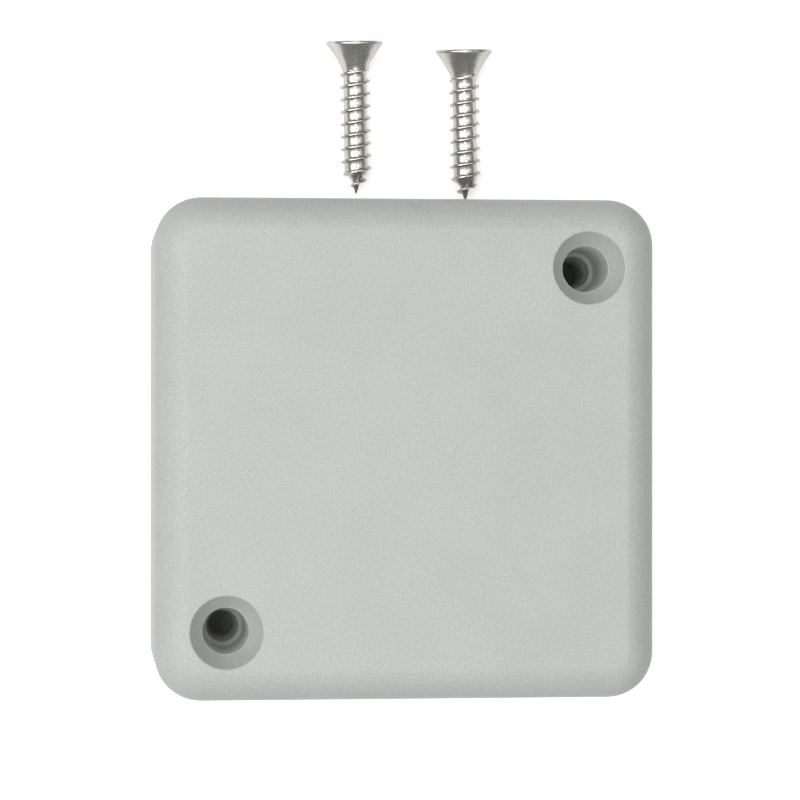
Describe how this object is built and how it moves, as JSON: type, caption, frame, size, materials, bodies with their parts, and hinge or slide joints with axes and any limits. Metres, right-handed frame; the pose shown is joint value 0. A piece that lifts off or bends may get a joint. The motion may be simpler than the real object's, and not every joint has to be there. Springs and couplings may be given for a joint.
{
  "type": "door contact sensor",
  "caption": "Small square grey plastic door contact sensor with two countersunk screw wells on one diagonal, a reed switch and coin cell inside, and loose cover screws.",
  "frame": {"origin": "centre of the housing's back face, which lies flat", "axes": "+Z out of the housing's front face, +Y towards the side where the loose screws lie, +X towards the reed switch's side, which the door's magnet passes"},
  "size_m": [0.05, 0.0676, 0.02],
  "materials": {
    "housing_plastic": "light grey ABS with a fine spark-eroded texture",
    "screw_steel": "bright nickel plating on steel",
    "board_laminate": "green solder mask over glass-fibre laminate",
    "spring_metal": "nickel-plated spring steel",
    "cell_steel": "satin stainless steel can",
    "reed_metal": "tinned nickel-iron",
    "reed_glass": "clear, slightly green",
    "black_plastic": "moulded black plastic",
    "plunger_plastic": "ivory nylon",
    "antenna_ceramic": "fired white ceramic with tinned ends",
    "capacitor_ceramic": "tan ceramic with tinned ends",
    "can_aluminium": "drawn aluminium can on a black foot",
    "lamp_resin": "pale clear resin on a white body"
  },
  "bodies": {
    "base": {"base": "housing_plastic", "circuit_board": "board_laminate", "board_screw_1": "screw_steel", "board_screw_2": "screw_steel", "reed_glass": "reed_glass", "reed_lead_1": "reed_metal", "reed_lead_2": "reed_metal", "battery_holder": "black_plastic", "battery_contact": "spring_metal", "battery_clip": "spring_metal", "radio_board": "board_laminate", "radio_shield": "spring_metal", "chip_antenna": "antenna_ceramic", "microcontroller": "black_plastic", "crystal": "spring_metal", "voltage_regulator": "black_plastic", "bulk_capacitor": "can_aluminium", "status_led": "lamp_resin", "pairing_switch": "black_plastic", "tamper_switch": "black_plastic", "ceramic_capacitor_1": "capacitor_ceramic", "ceramic_capacitor_2": "capacitor_ceramic", "ceramic_capacitor_3": "capacitor_ceramic", "resistor_1": "black_plastic", "resistor_2": "black_plastic", "resistor_3": "black_plastic"},
    "cover": {"cover": "housing_plastic"},
    "battery": {"battery": "cell_steel"},
    "pairing_button": {"pairing_button": "plunger_plastic"},
    "tamper_plunger": {"tamper_plunger": "plunger_plastic"},
    "reed_blade_1": {"reed_blade_1": "reed_metal"},
    "reed_blade_2": {"reed_blade_2": "reed_metal"},
    "cover_screw_1": {"cover_screw_1": "screw_steel"},
    "cover_screw_2": {"cover_screw_2": "screw_steel"}
  },
  "joints": [
    {"name": "cover_lift", "type": "slide", "parent": "base", "child": "cover", "axis": [0, 0, 1], "range_m": [0, 0.03]},
    {"name": "battery_slide", "type": "slide", "parent": "base", "child": "battery", "axis": [-1, 0, 0], "range_m": [0, 0.012]},
    {"name": "pairing_press", "type": "slide", "parent": "base", "child": "pairing_button", "axis": [0, 0, -1], "range_m": [0, 0.00025], "stiffness_N_per_m": 2000},
    {"name": "tamper_press", "type": "slide", "parent": "base", "child": "tamper_plunger", "axis": [0, 0, -1], "range_m": [0, 0.00025], "stiffness_N_per_m": 2000},
    {"name": "reed_1_close", "type": "hinge", "parent": "base", "child": "reed_blade_1", "pos_m": [0.0184, -0.00505, 0.00831], "axis": [-1, 0, 0], "range_deg": [0, 0.95], "stiffness_Nm_per_rad": 0.0018},
    {"name": "reed_2_close", "type": "hinge", "parent": "base", "child": "reed_blade_2", "pos_m": [0.0184, 0.00505, 0.00789], "axis": [-1, 0, 0], "range_deg": [0, 0.95], "stiffness_Nm_per_rad": 0.0018},
    {"name": "cover_screw_1_lift", "type": "slide", "parent": "base", "child": "cover_screw_1", "axis": [0, 0, 1], "range_m": [0, 0.03]},
    {"name": "cover_screw_2_lift", "type": "slide", "parent": "base", "child": "cover_screw_2", "axis": [0, 0, 1], "range_m": [0, 0.03]}
  ],
  "couplings": [
    {"joint": "reed_2_close", "follows": "reed_1_close", "ratio": 1}
  ]
}
